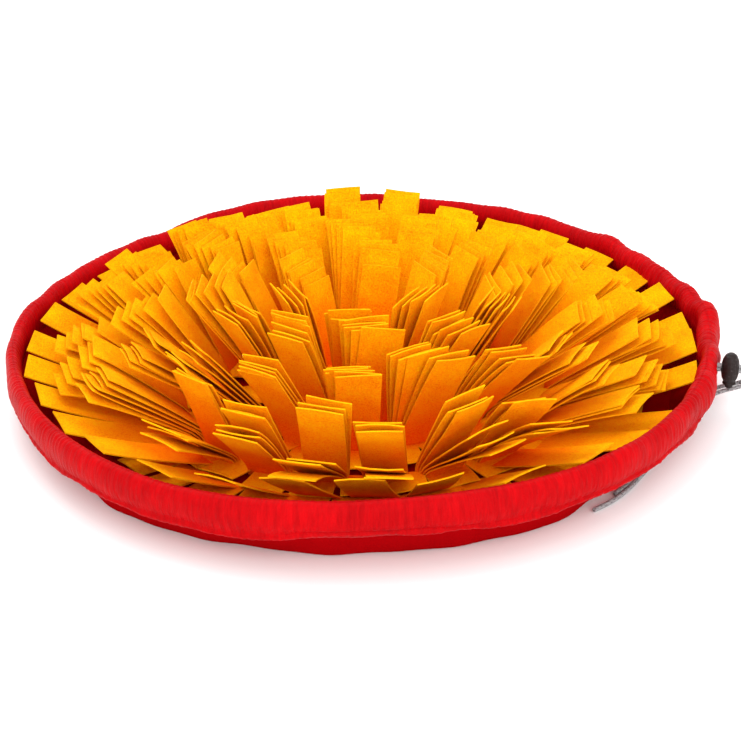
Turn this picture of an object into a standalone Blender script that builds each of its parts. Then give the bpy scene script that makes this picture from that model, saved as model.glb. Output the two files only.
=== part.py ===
"""A round felt snuffle mat, in metres, with +Z up and the origin under its centre.

A thin felt dish stands on the floor, and a padded rim in a gathered casing runs round its wall.
Rings of felt strips stand in the dish. They are cut as combs: a band of felt with its strips
fused to it, each comb a node of its own. A drawcord leaves the casing through a slit, passes
through a spring cord lock, and its two free ends lie on the floor under the rim.
Azimuths are in degrees, anticlockwise from +X, and the mat's front is at azimuth 270.
"""
import math

import bmesh
import bpy
import numpy as np
from mathutils import Vector

MM = 0.001
GAP = 0.3 * MM
UP = np.array([0.0, 0.0, 1.0])
SHARP_ANGLE = 40

# ---------------------------------------------------------------- dish and rim, metres
FELT = 2.5 * MM
FLOOR_RADIUS = 197 * MM
WALL_FOOT = (3.2 * MM, 1.4 * MM)
RIM_RADIUS = 225 * MM
RIM_CENTRE_HEIGHT = 33.5 * MM
RIM_HALF_HEIGHT = 10.8 * MM
DISH_STEPS = 60

# One row every 15 degrees from azimuth 0, in mm: how far the rim stands out of round, how far it
# rises, its half width, how far its hem is pulled up, and how far the dish's foot spreads.
RIM_COLUMNS = ("out", "rise", "half_width", "hem", "foot")
RIM_TABLE = (
    (1.5, 0.0, 6.8, 0.0, 0.0),
    (-1.0, 0.0, 6.4, 0.0, 0.0),
    (-1.5, -0.5, 6.4, 0.0, 0.0),
    (-1.0, 0.0, 6.0, 0.0, 0.0),
    (0.0, 0.0, 5.8, 0.0, 0.0),
    (0.0, 0.5, 5.6, 0.0, 0.0),
    (0.8, 3.0, 5.6, 0.0, 0.0),
    (1.2, 4.5, 6.0, 0.0, 0.0),
    (0.6, 2.0, 6.0, 0.0, 0.0),
    (-1.5, -1.0, 5.8, 0.0, 0.0),
    (-1.0, -0.5, 5.8, 0.0, 0.0),
    (0.0, 0.0, 5.2, 0.0, 0.0),
    (0.6, 0.0, 4.8, 0.0, 0.0),
    (-1.5, 0.0, 5.0, 0.0, 1.0),
    (-1.5, 0.0, 5.6, 0.0, 3.0),
    (0.0, 0.0, 5.8, -0.6, 5.0),
    (1.0, -0.5, 5.8, -0.8, 3.5),
    (0.5, 0.0, 5.8, -0.4, 1.5),
    (-1.0, 0.8, 6.0, 2.4, 0.0),
    (-0.5, 0.8, 6.2, 0.4, 2.0),
    (-0.5, -0.5, 5.8, -0.4, 2.0),
    (-1.5, -1.5, 5.4, 1.0, -2.5),
    (-1.0, -0.5, 6.0, 0.4, -2.5),
    (0.5, 0.0, 6.6, 0.0, -1.0),
)
STATION_STEP = 360 / len(RIM_TABLE)

# The rim's section, as shares of its half width (outwards) and its half height (upwards):
# a full round top, a crease, and the folded hem below it.
RIM_SECTION = (
    (0.00, 1.00), (0.52, 0.90), (0.88, 0.56), (1.00, 0.10), (0.92, -0.34), (0.66, -0.68),
    (0.80, -0.82), (0.60, -1.00), (0.00, -0.98), (-0.55, -0.80), (-0.90, -0.40), (-1.00, 0.10),
    (-0.86, 0.56), (-0.50, 0.90),
)
HEM_FIRST, HEM_LAST = 5, 8
SEAT_SHARE = (-0.33, -0.872)

# ---------------------------------------------------------------- felt strips
STRIP_WIDTH = 25.5 * MM
STRIP_THICK = 1.4 * MM
LAYER_PITCH = 2.9 * MM
BAND_HEIGHT = 3.0 * MM
BAND_MARGIN = 1.2 * MM
PETAL_BAND_WIDTH = 7 * MM
PETAL_WIDTH = 27 * MM
BAND_FLOOR = FELT + GAP
CURL_SHARE = 0.22
UPRIGHT = 86.0
PATH_POINTS = 41
ROLL_RATE = 1.6
OUTER_LAYERS_SHORTER = 3
AZIMUTH_JITTER = 0.2
LENGTH_JITTER = 0.5

# One row for each ring of strips. Lengths are in mm and angles in degrees: lean is the middle
# layer's height above level, bend is how much less steep its tip is than its root, open is the
# difference in lean between the first layer and the last, and fan spreads them like cards.
RING_COLUMNS = ("name", "count", "first", "root", "length", "layers", "lean", "bend", "open",
                "fan", "roll", "jitter", "per_node", "steps")
RING_TABLE = (
    ("petal", 32, 2, 150, 64, 1, 26, -6, 0, 0, 2, 2, 4, (0.0, 0.30, 0.65, 1.0)),
    ("outer", 24, 5, 120, 80, 4, 36, 6, 9, 6, 6, 5, 3, (0.0, 0.16, 0.55, 1.0)),
    ("middle", 18, 8, 90, 80, 4, 54, 6, 9, 6, 6, 5, 3, (0.0, 0.18, 1.0)),
    ("inner", 12, 3, 60, 80, 4, 66, 6, 7, 6, 6, 4, 3, (0.0, 0.18, 1.0)),
    ("heart", 6, 20, 30, 78, 4, 76, 6, 5, 6, 6, 6, 1, (0.0, 0.18, 1.0)),
)

# The bunches that stand in a way of their own, by ring and by number from the ring's first, in
# degrees: turn is how far a bunch faces anticlockwise of straight out, side how far it leans
# along its ring, roll its twist, and split how far its lower half has fallen from its upper one.
# Out is how far, in mm, its root stands outside the ring's.
BUNCH_COLUMNS = ("turn", "lean", "open", "side", "fan", "roll", "split", "out")
BUNCH_TABLE = {
    ("petal", 14): (0, 26, 0, 0, 0, -1, 0, 0),
    ("petal", 15): (-2, 27, 0, 0, 0, -2, 0, 0),
    ("petal", 16): (-4, 27, 0, 0, 0, -3, 0, 0),
    ("petal", 17): (-5, 27, 0, 0, 0, -4, 0, 0),
    ("petal", 18): (-7, 28, 0, 0, 0, -4, 0, 0),
    ("petal", 19): (-8, 28, 0, 0, 0, -5, 0, 0),
    ("petal", 20): (-8, 29, 0, -1, 0, -5, 0, 0),
    ("petal", 21): (-5, 33, 0, -2, 0, -6, 0, 0),
    ("petal", 22): (-2, 36, 0, -6, 0, -5, 0, 0),
    ("petal", 23): (-2, 40, 0, -9, 0, -4, 0, 0),
    ("petal", 24): (-2, 40, 0, -8, 0, -3, 0, 0),
    ("petal", 25): (-1, 38, 0, -4, 0, 4, 0, 0),
    ("petal", 26): (0, 33, 0, 2, 0, 6, 0, 0),
    ("petal", 27): (1, 29, 0, 2, 0, 5, 0, 0),
    ("petal", 28): (0, 25, 0, 0, 0, 3, 0, 0),
    ("petal", 29): (-1, 22, 0, -2, 0, 2, 0, 0),
    ("petal", 30): (2, 25, 0, 6, 0, 4, 0, 0),
    ("petal", 31): (2, 27, 0, 2, 0, 4, 0, 0),
    ("outer", 0): (8, 27, 8, 5, 6, 8, 0, 0),
    ("outer", 1): (6, 28, 8, 3, 6, 4, 0, 0),
    ("outer", 2): (2, 27, 8, 0, 6, 6, 0, 0),
    ("outer", 3): (-2, 31, 8, -2, 8, 4, 0, 0),
    ("outer", 4): (4, 33, 8, 0, 8, 8, 0, 0),
    ("outer", 5): (1, 49, 6, -1, 2, 4, 0, 0),
    ("outer", 6): (-3, 60, 6, -3, 1, -1, 0, 0),
    ("outer", 7): (-3, 36, 8, 0, 8, -5, 0, 0),
    ("outer", 8): (-8, 43, 8, -5, 8, -5, 0, 0),
    ("outer", 9): (-4, 64, 10, -3, 8, -3, 0, 0),
    ("outer", 10): (-2, 50, 10, 0, 8, -3, 0, 0),
    ("outer", 11): (-4, 40, 12, -4, 8, 2, 0, 0),
    ("outer", 12): (0, 34, 14, 0, 8, 4, 0, 0),
    ("outer", 13): (-5, 34, 12, 0, 8, -5, 6, 0),
    ("outer", 14): (-5, 38, 6, -5, 4, -2, 0, 3),
    ("outer", 15): (6, 50, 6, 7, 6, -5, 22, 10),
    ("outer", 16): (4, 50, 6, 4, 6, -1, 6, 10),
    ("outer", 17): (0, 46, 5, 2, -8, -2, 22, 10),
    ("outer", 18): (-4, 39, 5, -3, 4, -4, 15, 10),
    ("outer", 19): (6, 46, 14, 1, 6, 7, 8, 8),
    ("outer", 20): (-7, 44, 6, -1, 6, -10, 8, 10),
    ("outer", 21): (4, 36, 6, 3, 6, 4, 12, 3),
    ("outer", 22): (3, 26, 8, 0, 8, 3, 0, 0),
    ("outer", 23): (2, 30, 10, 0, 8, 4, 0, 0),
    ("middle", 2): (0, 46, 8, -3, 6, 3, 0, 0),
    ("middle", 3): (-2, 50, 8, -4, 6, 1, 0, 0),
    ("middle", 4): (2, 61, 8, 0, 6, 2, 0, 0),
    ("middle", 5): (-2, 61, 8, 0, 6, -2, 0, 0),
    ("middle", 6): (0, 66, 8, 0, 6, 2, 0, 0),
    ("middle", 7): (0, 68, 8, 0, 6, 2, 0, 0),
    ("middle", 8): (-6, 54, 14, -3, 6, -4, 0, 0),
    ("middle", 9): (-8, 48, 16, -4, 6, -5, 0, 0),
    ("middle", 10): (-4, 43, 10, -2, 6, -2, 0, 0),
    ("middle", 11): (-8, 52, 8, -6, 6, -6, 0, 0),
    ("middle", 12): (-6, 60, 6, -5, 6, -4, 0, 3),
    ("middle", 13): (0, 63, 6, 1, 6, 1, 0, 3),
    ("middle", 14): (3, 66, 6, -1, 16, 2, 0, 0),
    ("middle", 15): (-3, 54, 6, 3, 6, -8, 0, 0),
    ("middle", 16): (0, 44, 10, 0, 6, 6, 0, 0),
    ("middle", 17): (5, 42, 10, 1, 6, 8, 0, 0),
    ("inner", 6): (-5, 62, 10, 2, 6, -6, 0, 0),
    ("inner", 8): (-4, 69, 6, -2, 6, -2, 0, 0),
    ("inner", 9): (1, 74, 8, 1, 6, 0, 0, 0),
}

# ---------------------------------------------------------------- drawcord and cord lock
CORD_DIAMETER = 2.6 * MM
CORD_POINT_STEP = 2.5 * CORD_DIAMETER
SLIT_AZIMUTH = 344.6
SLIT_SIZE = (8.0 * MM, 4.6 * MM, 7.4 * MM)
SLIT_FLOOR_RADIUS = 217.5 * MM
PINCH_WIDTH = 4.5
PINCH_DEPTH = 3.0 * MM
PINCH_NARROWS = 0.35
LOCK_RADIUS = 230.5 * MM
LOCK_HEIGHT = 35.0 * MM
BARREL_LENGTH = 20 * MM
BARREL_DIAMETER = 11 * MM
BARREL_ROOF = 1.8 * MM
BORE_DIAMETER = 6.4 * MM
PLUNGER_DIAMETER = 5.8 * MM
BUTTON_TRAVEL = 2.5 * MM
BUTTON_PROUD = 3.4 * MM
PLUNGER_ROOF = 1.6 * MM
CORD_STACK = 1.45 * MM
CORD_CLEARANCE = 0.35 * MM
BARREL_STEPS = 20
BARREL_LIP = 0.9 * MM
BARREL_SLOPES = (-58, -36, -14, 10, 34, 58, 76)
BARREL_FULLNESS = 0.7
BARREL_SKIRT = 0.86
BUTTON_CHAMFER = 0.4 * MM
BUTTON_ROUND = 0.9 * MM
ROUTE_FINE = 24

# Route points of the two free ends: azimuth in degrees, radius and height in mm.
ROUTE_COLUMNS = ("azimuth", "radius", "height")
CORD_ROUTES = {
    "drawcord_upper": (
        (344.60, 218.0, 36.45), (344.60, 224.0, 36.45), (344.60, 230.5, 36.45),
        (344.60, 236.2, 36.45), (344.65, 240.6, 35.4), (344.75, 243.2, 32.2),
        (344.90, 243.4, 28.0), (345.10, 241.0, 24.2), (345.30, 236.4, 21.2),
        (345.50, 230.8, 18.6), (345.60, 225.0, 15.8), (345.60, 219.4, 12.4),
        (345.40, 214.4, 8.4), (344.90, 210.2, 4.8), (343.80, 206.9, 2.4), (341.60, 204.9, 1.6),
        (338.00, 203.9, 1.6), (333.00, 203.2, 1.6), (328.00, 202.9, 1.6), (323.40, 203.4, 1.6),
        (319.20, 204.9, 1.6), (315.20, 206.6, 1.6), (311.40, 207.4, 1.6), (307.60, 207.0, 1.6),
    ),
    "drawcord_lower": (
        (344.60, 218.0, 33.55), (344.60, 224.0, 33.55), (344.60, 230.5, 33.55),
        (344.60, 236.0, 33.55), (344.85, 239.4, 32.4), (345.50, 240.9, 29.2),
        (346.00, 240.0, 25.2), (346.40, 236.4, 22.0), (346.70, 231.4, 19.6),
        (346.90, 226.0, 17.2), (347.00, 220.6, 14.2), (346.90, 215.4, 10.6),
        (346.60, 210.8, 6.8), (346.00, 206.8, 3.8), (344.90, 203.8, 2.0), (342.60, 201.9, 1.6),
        (338.80, 200.9, 1.6), (334.00, 200.2, 1.6), (329.00, 199.9, 1.6), (324.40, 200.2, 1.6),
        (320.60, 201.6, 1.6), (317.00, 203.2, 1.6), (313.60, 203.8, 1.6),
    ),
}

# ---------------------------------------------------------------- finishes: colour, roughness, metallic
FINISHES = {
    "red_felt": ((0.42, 0.002, 0.006, 1.0), 0.95, 0.0),
    "red_casing": ((0.70, 0.006, 0.010, 1.0), 0.42, 0.0),
    "yellow_felt": ((1.00, 0.42, 0.0, 1.0), 0.92, 0.0),
    "dark_plastic": ((0.030, 0.018, 0.018, 1.0), 0.38, 0.0),
    "grey_cord": ((0.42, 0.42, 0.42, 1.0), 0.60, 0.0),
}


def named_rows(columns, table):
    """The table's rows as dictionaries, one key for each column."""
    return [dict(zip(columns, row)) for row in table]


def heading(azimuth):
    """The level unit vector that points along an azimuth."""
    angle = math.radians(azimuth)
    return np.array([math.cos(angle), math.sin(angle), 0.0])


def at(azimuth, radius, height):
    """The point at an azimuth, a radius and a height."""
    return heading(azimuth) * radius + UP * height


def around(column, azimuth):
    """A column of the rim's table at an azimuth, in metres, on a smooth closed curve."""
    values = [row[RIM_COLUMNS.index(column)] for row in RIM_TABLE]
    station = (azimuth % 360) / STATION_STEP
    first = int(station)
    t = station - first
    before, here, after, beyond = (values[(first + k) % len(values)] for k in (-1, 0, 1, 2))
    bend = 2 * before - 5 * here + 4 * after - beyond
    twist = 3 * (here - after) + beyond - before
    return 0.5 * (2 * here + (after - before) * t + bend * t * t + twist * t * t * t) * MM


def vary(ring, index, salt):
    """A fixed value from -1 to 1 that differs from bunch to bunch."""
    return 2 * ((math.sin(ring * 127.1 + index * 311.7 + salt * 74.7) * 43758.5453) % 1.0) - 1


def finish(name):
    """The named material, made once."""
    if name in bpy.data.materials:
        return bpy.data.materials[name]
    colour, roughness, metallic = FINISHES[name]
    material = bpy.data.materials.new(name)
    material.use_nodes = True
    shader = material.node_tree.nodes["Principled BSDF"]
    shader.inputs["Base Color"].default_value = colour
    shader.inputs["Roughness"].default_value = roughness
    shader.inputs["Metallic"].default_value = metallic
    return material


def add_object(name, data, material):
    """Put a mesh or a curve in the scene as one named object."""
    item = bpy.data.objects.new(name, data)
    bpy.context.scene.collection.objects.link(item)
    data.materials.append(finish(material))
    return item


def mesh_object(name, bm, material):
    """Close a bmesh into an object with its faces pointing out."""
    bmesh.ops.recalc_face_normals(bm, faces=bm.faces)
    mesh = bpy.data.meshes.new(name)
    bm.to_mesh(mesh)
    bm.free()
    mesh.shade_smooth()
    mesh.set_sharp_from_angle(angle=math.radians(SHARP_ANGLE))
    return add_object(name, mesh, material)


def add_loops(bm, loops):
    """Add each loop of points to the bmesh and return its vertices."""
    return [[bm.verts.new(point) for point in loop] for loop in loops]


def join_loops(bm, first, second, closed=True):
    """Add the quads between two loops of vertices that match one to one, and return them."""
    count = len(first) if closed else len(first) - 1
    quads = []
    for k in range(count):
        after = (k + 1) % len(first)
        quads.append(bm.faces.new((first[k], first[after], second[after], second[k])))
    return quads


def close_to_point(bm, loop, point):
    """Fan a closed loop to one point."""
    centre = bm.verts.new(point)
    for k in range(len(loop)):
        bm.faces.new((loop[k], loop[(k + 1) % len(loop)], centre))


# ---------------------------------------------------------------- dish and rim
def pinch(azimuth):
    """How far the casing is drawn in beside its slit, in metres."""
    away = (azimuth - SLIT_AZIMUTH + 180) % 360 - 180
    return PINCH_DEPTH * math.exp(-(away / PINCH_WIDTH) ** 2)


def rim_frame(azimuth):
    """The rim's centre radius, centre height and half width at an azimuth."""
    half_width = around("half_width", azimuth) - PINCH_NARROWS * pinch(azimuth)
    outside = RIM_RADIUS + around("out", azimuth) - pinch(azimuth)
    return outside - half_width, RIM_CENTRE_HEIGHT + around("rise", azimuth), half_width


def rim_loop(azimuth):
    """The rim's closed section at an azimuth."""
    radius, height, half_width = rim_frame(azimuth)
    points = []
    for index, (out, up) in enumerate(RIM_SECTION):
        lift = around("hem", azimuth) if HEM_FIRST <= index < HEM_LAST else 0.0
        points.append(at(azimuth, radius + out * half_width, height + up * RIM_HALF_HEIGHT + lift))
    return points


def dish_loops(azimuths):
    """The dish's loops, from the middle of its underside round its edge to the middle of its top."""
    loops = [[] for _ in range(7)]
    for azimuth in azimuths:
        radius, height, half_width = rim_frame(azimuth)
        foot = FLOOR_RADIUS + around("foot", azimuth)
        bend = (foot + WALL_FOOT[0], WALL_FOOT[1])
        top = (radius + SEAT_SHARE[0] * half_width, height + SEAT_SHARE[1] * RIM_HALF_HEIGHT - 2 * GAP)
        run, climb = top[0] - bend[0], top[1] - bend[1]
        slope = math.hypot(run, climb)
        inward = (-climb / slope * FELT, run / slope * FELT)
        profile = (
            (foot * 0.5, 0.0), (foot, 0.0), bend, top,
            (top[0] + inward[0], top[1] + inward[1]),
            (bend[0] + inward[0], bend[1] + inward[1]), (foot - FELT * 0.5, FELT),
        )
        for loop, (out, up) in zip(loops, profile):
            loop.append(at(azimuth, out, up))
    return loops


def make_dish():
    """The felt dish: a flat floor and a slanting wall, one sheet."""
    azimuths = [360 * k / DISH_STEPS for k in range(DISH_STEPS)]
    bm = bmesh.new()
    loops = add_loops(bm, dish_loops(azimuths))
    for first, second in zip(loops, loops[1:]):
        join_loops(bm, first, second)
    close_to_point(bm, loops[0], (0.0, 0.0, 0.0))
    close_to_point(bm, loops[-1], (0.0, 0.0, FELT))
    mesh_object("felt_dish", bm, "red_felt")


def make_rim():
    """The padded rim in its casing, with the slit that the drawcord leaves by."""
    bm = bmesh.new()
    loops = add_loops(bm, [rim_loop(360 * k / DISH_STEPS) for k in range(DISH_STEPS)])
    for index, loop in enumerate(loops):
        join_loops(bm, loop, loops[(index + 1) % len(loops)])
    rim = mesh_object("rim_casing", bm, "red_casing")

    length, width, tall = SLIT_SIZE
    slit = bmesh.new()
    bmesh.ops.create_cube(slit, size=1.0)
    bmesh.ops.scale(slit, vec=(length, width, tall), verts=slit.verts)
    bmesh.ops.bevel(slit, geom=[e for e in slit.edges if abs(e.verts[0].co.x - e.verts[1].co.x) > GAP],
                    offset=width * 0.3, segments=2, profile=0.5, affect="EDGES")
    cutter = mesh_object("slit_cutter", slit, "red_casing")
    cutter.location = at(SLIT_AZIMUTH, SLIT_FLOOR_RADIUS + length / 2, LOCK_HEIGHT)
    cutter.rotation_euler.z = math.radians(SLIT_AZIMUTH)
    cutter.hide_render = True
    cutter.display_type = "WIRE"
    cut = rim.modifiers.new("slit", "BOOLEAN")
    cut.operation = "DIFFERENCE"
    cut.solver = "EXACT"
    cut.object = cutter


# ---------------------------------------------------------------- felt strips
def bunch_rows():
    """Every bunch of strips, ring by ring, with its own small differences."""
    rows = []
    for number, ring in enumerate(named_rows(RING_COLUMNS, RING_TABLE)):
        for index in range(ring["count"]):
            wander = [vary(number, index, salt) * ring["jitter"] for salt in range(6)]
            row = dict(ring)
            row["azimuth"] = ring["first"] + 360 * index / ring["count"] + AZIMUTH_JITTER * wander[0]
            row["turn"] = wander[1]
            row["lean"] = ring["lean"] + wander[2]
            row["side"] = wander[3]
            row["roll"] = ring["roll"] + wander[4]
            row["split"] = row["out"] = 0
            row["length"] = ring["length"] + LENGTH_JITTER * wander[5]
            row.update(zip(BUNCH_COLUMNS, BUNCH_TABLE.get((ring["name"], index), ())))
            row["root"] = ring["root"] + row["out"]
            rows.append(row)
    return rows


def strip_loops(row, layer, width, thick, start):
    """The four-cornered loops along one strip, after the one on its band.

    The strip's middle line starts at start, curls over from upright to its lean in the first part
    of its length, and keeps bending a little. It is turned sideways in its own plane and rolled.
    """
    facing = heading(row["azimuth"] + row["turn"])
    across = np.cross(UP, facing)
    place = (layer - (row["layers"] - 1) / 2) / max(1, row["layers"] - 1)
    fine = np.linspace(0, 1, PATH_POINTS)
    fallen = math.copysign(row["split"] / 2, place)
    lean = row["lean"] - place * row["open"] - fallen + row["bend"] * (0.5 - fine)
    if row["name"] != "petal":
        lean = lean + max(0.0, UPRIGHT - lean[0]) * np.clip(1 - fine / CURL_SHARE, 0, 1) ** 2
    lean = np.radians(lean)[:, None]
    side = math.radians(row["side"] + place * row["fan"])
    roll = (math.radians(row["roll"]) * np.clip(ROLL_RATE * fine, 0, 1))[:, None]
    along = np.cos(lean) * facing + np.sin(lean) * UP
    upper = np.cross(along, across)
    run = math.cos(side) * along + math.sin(side) * across
    span = math.cos(side) * across - math.sin(side) * along
    span = np.cos(roll) * span + np.sin(roll) * upper
    face = np.cross(run, span)
    length = (row["length"] - OUTER_LAYERS_SHORTER * abs(place)) * MM
    steps = (run[1:] + run[:-1]) / 2 * length / (len(fine) - 1)
    centre = start + np.vstack([np.zeros(3), np.cumsum(steps, axis=0)])
    loops = []
    for share in row["steps"][1:]:
        k = round(share * (len(fine) - 1))
        half, deep = span[k] * width / 2, face[k] * thick / 2
        loops.append([centre[k] - half + deep, centre[k] - half - deep,
                      centre[k] + half - deep, centre[k] + half + deep])
    return loops


def raise_strip(bm, cell, loops):
    """Stand a strip on one cell of a band.

    Its upper and its under side are split along the same diagonal, so that a twisted strip keeps
    its thickness all over.
    """
    below = list(cell.verts)
    bm.faces.remove(cell)
    for loop in add_loops(bm, loops):
        sides = join_loops(bm, below, loop)
        bmesh.utils.face_split(sides[1], below[1], loop[2])
        bmesh.utils.face_split(sides[3], below[0], loop[3])
        below = loop
    bm.faces.new(below)


def band_section(layers):
    """An upright comb's band section: offsets along its facing and heights, and its strip cells."""
    edges = []
    for layer in range(layers):
        middle = (layer - (layers - 1) / 2) * LAYER_PITCH
        edges += [middle - STRIP_THICK / 2, middle + STRIP_THICK / 2]
    edges = [edges[0] - BAND_MARGIN] + edges + [edges[-1] + BAND_MARGIN]
    top = BAND_FLOOR + BAND_HEIGHT
    section = [(edge, top) for edge in edges] + [(edges[-1], BAND_FLOOR), (edges[0], BAND_FLOOR)]
    return section, [1 + 2 * layer for layer in range(layers)]


def petal_section():
    """The flat outer comb's band section, whose outer side is its strip cell."""
    top = BAND_FLOOR + STRIP_THICK
    section = [(-PETAL_BAND_WIDTH, top), (0.0, top), (0.0, BAND_FLOOR), (-PETAL_BAND_WIDTH, BAND_FLOOR)]
    return section, [1]


def make_comb(name, rows):
    """One comb: a band swept past its bunches, with every strip extruded from its own cell."""
    petal = rows[0]["name"] == "petal"
    section, cells = petal_section() if petal else band_section(rows[0]["layers"])
    width = PETAL_WIDTH if petal else STRIP_WIDTH
    bm = bmesh.new()
    stations = []
    for row in rows:
        facing = heading(row["azimuth"] + row["turn"])
        across = np.cross(UP, facing) * width / 2
        root = heading(row["azimuth"]) * row["root"] * MM
        for side in (-1, 1):
            stations.append([root + facing * out + UP * up + across * side * (1 + out / (row["root"] * MM))
                             for out, up in section])
    stations = add_loops(bm, stations)
    bm.faces.new(stations[0])
    bm.faces.new(stations[-1][::-1])
    spans = [join_loops(bm, a, b) for a, b in zip(stations, stations[1:])]
    for row, span in zip(rows, spans[::2]):
        for layer, cell in enumerate(cells):
            start = sum((Vector(vert.co) for vert in span[cell].verts), Vector()) / 4
            raise_strip(bm, span[cell], strip_loops(row, layer, width, STRIP_THICK, np.array(start)))
    mesh_object(name, bm, "yellow_felt")


def make_combs():
    """All the combs, a few neighbouring bunches to a node."""
    rows = bunch_rows()
    for ring in named_rows(RING_COLUMNS, RING_TABLE):
        bunches = [row for row in rows if row["name"] == ring["name"]]
        for number, first in enumerate(range(0, len(bunches), ring["per_node"]), start=1):
            make_comb("comb_%s_%d" % (ring["name"], number), bunches[first:first + ring["per_node"]])


# ---------------------------------------------------------------- drawcord and cord lock
def smooth_route(points, step):
    """Points every step along a smooth curve through the route's own points."""
    points = np.array([at(*row) for row in points])
    padded = np.vstack([2 * points[0] - points[1], points, 2 * points[-1] - points[-2]])
    fine = []
    for a, b, c, d in zip(padded, padded[1:], padded[2:], padded[3:]):
        for t in np.linspace(0, 1, ROUTE_FINE, endpoint=False):
            fine.append(0.5 * (2 * b + (c - a) * t + (2 * a - 5 * b + 4 * c - d) * t * t
                               + (3 * b - 3 * c + d - a) * t ** 3))
    fine = np.vstack([fine, points[-1]])
    run = np.concatenate([[0], np.cumsum(np.linalg.norm(np.diff(fine, axis=0), axis=1))])
    places = np.linspace(0, run[-1], round(run[-1] / step) + 1)
    return np.column_stack([np.interp(places, run, fine[:, k]) for k in range(3)])


def make_cord(name, rows):
    """One free end of the drawcord, from the slit through the lock to its cut end."""
    rows = [(row["azimuth"], row["radius"] * MM, row["height"] * MM)
            for row in named_rows(ROUTE_COLUMNS, rows)]
    route = smooth_route(rows, CORD_POINT_STEP)
    curve = bpy.data.curves.new(name, "CURVE")
    curve.dimensions = "3D"
    curve.bevel_depth = CORD_DIAMETER / 2
    curve.bevel_resolution = 2
    curve.use_fill_caps = True
    spline = curve.splines.new("POLY")
    spline.points.add(len(route) - 1)
    for point, place in zip(spline.points, route):
        point.co = (*place, 1.0)
    add_object(name, curve, "grey_cord")


def turned(name, profile, material):
    """A solid turned about the vertical from (radius, height) points, the first and last on the axis."""
    bm = bmesh.new()
    angles = [math.tau * k / BARREL_STEPS for k in range(BARREL_STEPS)]
    loops = add_loops(bm, [[(radius * math.cos(a), radius * math.sin(a), height) for a in angles]
                           for radius, height in profile[1:-1]])
    for first, second in zip(loops, loops[1:]):
        join_loops(bm, first, second)
    close_to_point(bm, loops[0], (0.0, 0.0, profile[0][1]))
    close_to_point(bm, loops[-1], (0.0, 0.0, profile[-1][1]))
    return mesh_object(name, bm, material)


def make_lock():
    """The spring cord lock: a barrel with a blind bore, and the button that slides up into it."""
    place = bpy.data.objects.new("cord_lock", None)
    bpy.context.scene.collection.objects.link(place)
    place.location = at(SLIT_AZIMUTH, LOCK_RADIUS, LOCK_HEIGHT)
    place.rotation_euler.z = math.radians(SLIT_AZIMUTH)

    half, girth = BARREL_LENGTH / 2, BARREL_DIAMETER / 2
    bore, shaft = BORE_DIAMETER / 2, PLUNGER_DIAMETER / 2
    slopes = [math.radians(angle) for angle in BARREL_SLOPES]
    lowest = math.sin(slopes[0])
    shell = [(girth * math.cos(a) ** BARREL_FULLNESS,
              -half * BARREL_SKIRT * math.sin(a) / lowest if a < 0 else half * math.sin(a))
             for a in slopes]
    profile = [(0.0, half - BARREL_ROOF), (bore, half - BARREL_ROOF), (bore, -half),
               (bore + BARREL_LIP, -half)]
    barrel = turned("cord_lock_barrel", profile + shell + [(0.0, half)], "dark_plastic")

    hole_high = CORD_STACK + CORD_DIAMETER / 2 + CORD_CLEARANCE
    hole_wide = CORD_DIAMETER / 2 + CORD_CLEARANCE
    cutter = bar_cutter("barrel_hole", (2 * BARREL_DIAMETER, 2 * hole_wide, 2 * hole_high), 0.0, place)
    cut_with(barrel, cutter)
    barrel.parent = place

    slot_high = 2 * hole_high + BUTTON_TRAVEL
    roof = hole_high + PLUNGER_ROOF
    low = -half - BUTTON_PROUD
    stem = [(0.0, roof), (shaft, roof), (shaft, -half - GAP),
            (shaft - BUTTON_CHAMFER, -half - GAP - BUTTON_CHAMFER),
            (shaft - 1.5 * BUTTON_CHAMFER, low + BUTTON_ROUND), (shaft * 0.5, low), (0.0, low)]
    button = turned("cord_lock_button", stem, "dark_plastic")
    slot = bar_cutter("button_slot", (2 * BARREL_DIAMETER, 2 * hole_wide, slot_high), -BUTTON_TRAVEL / 2, place)
    cut_with(button, slot)
    button.parent = place


def bar_cutter(name, size, height, place):
    """A straight bar, along the cord's way through the lock, that cuts its hole."""
    bm = bmesh.new()
    bmesh.ops.create_cube(bm, size=1.0)
    bmesh.ops.scale(bm, vec=size, verts=bm.verts)
    bmesh.ops.translate(bm, vec=(0, 0, height), verts=bm.verts)
    cutter = mesh_object(name, bm, "dark_plastic")
    cutter.parent = place
    cutter.hide_render = True
    cutter.display_type = "WIRE"
    return cutter


def cut_with(item, cutter):
    """Take a cutter's shape out of an object."""
    cut = item.modifiers.new("cut", "BOOLEAN")
    cut.operation = "DIFFERENCE"
    cut.solver = "EXACT"
    cut.object = cutter


def main():
    """Clear the scene and build the mat."""
    for item in list(bpy.data.objects):
        bpy.data.objects.remove(item, do_unlink=True)
    make_dish()
    make_rim()
    make_combs()
    for name, rows in CORD_ROUTES.items():
        make_cord(name, rows)
    make_lock()


main()
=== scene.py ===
"""The looks of a round felt snuffle mat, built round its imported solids.

Azimuths are in degrees, anticlockwise from +X, and the mat's front is at azimuth 270. Tables give
lengths in mm, and the meshes are in metres. Every new surface is worked out on a grid with numpy.
"""

import math

import bpy
import numpy as np
from mathutils import Matrix, Vector


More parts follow.
